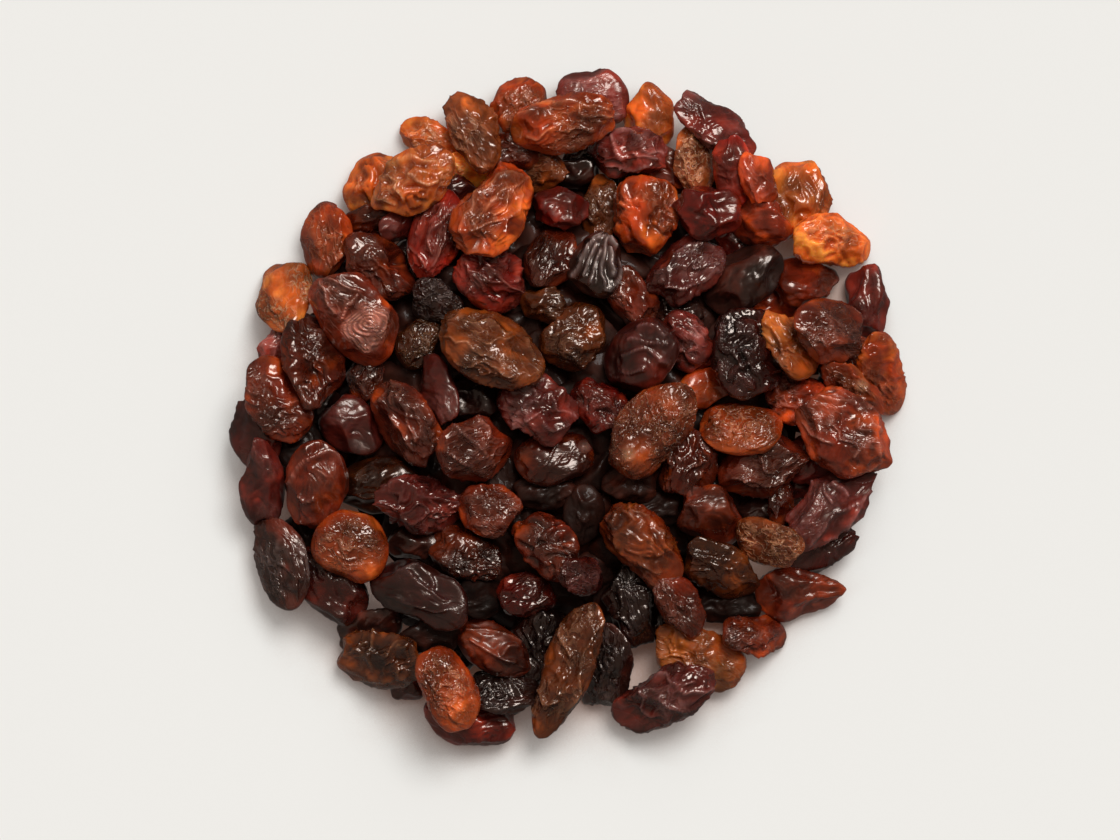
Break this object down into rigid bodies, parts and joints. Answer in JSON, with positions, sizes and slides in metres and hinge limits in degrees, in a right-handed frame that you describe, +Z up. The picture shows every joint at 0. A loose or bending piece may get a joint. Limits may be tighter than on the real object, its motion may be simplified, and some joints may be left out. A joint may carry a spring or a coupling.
{
  "type": "heap of sultanas",
  "caption": "Loose round heap of sultanas, as poured on a table: plump wrinkled dried grapes in amber, red-brown, olive and near black.",
  "frame": {"origin": "middle of the heap's base, on the table", "axes": "+Z up from the table; +X to the right and +Y away from the viewer in the picture, which looks straight down"},
  "size_m": [0.09, 0.0905, 0.0164],
  "materials": {
    "sultana_skin": "satin, wrinkled, dark red-brown"
  },
  "bodies": {
    "root": {"sultana_heap": "sultana_skin"}
  },
  "joints": []
}
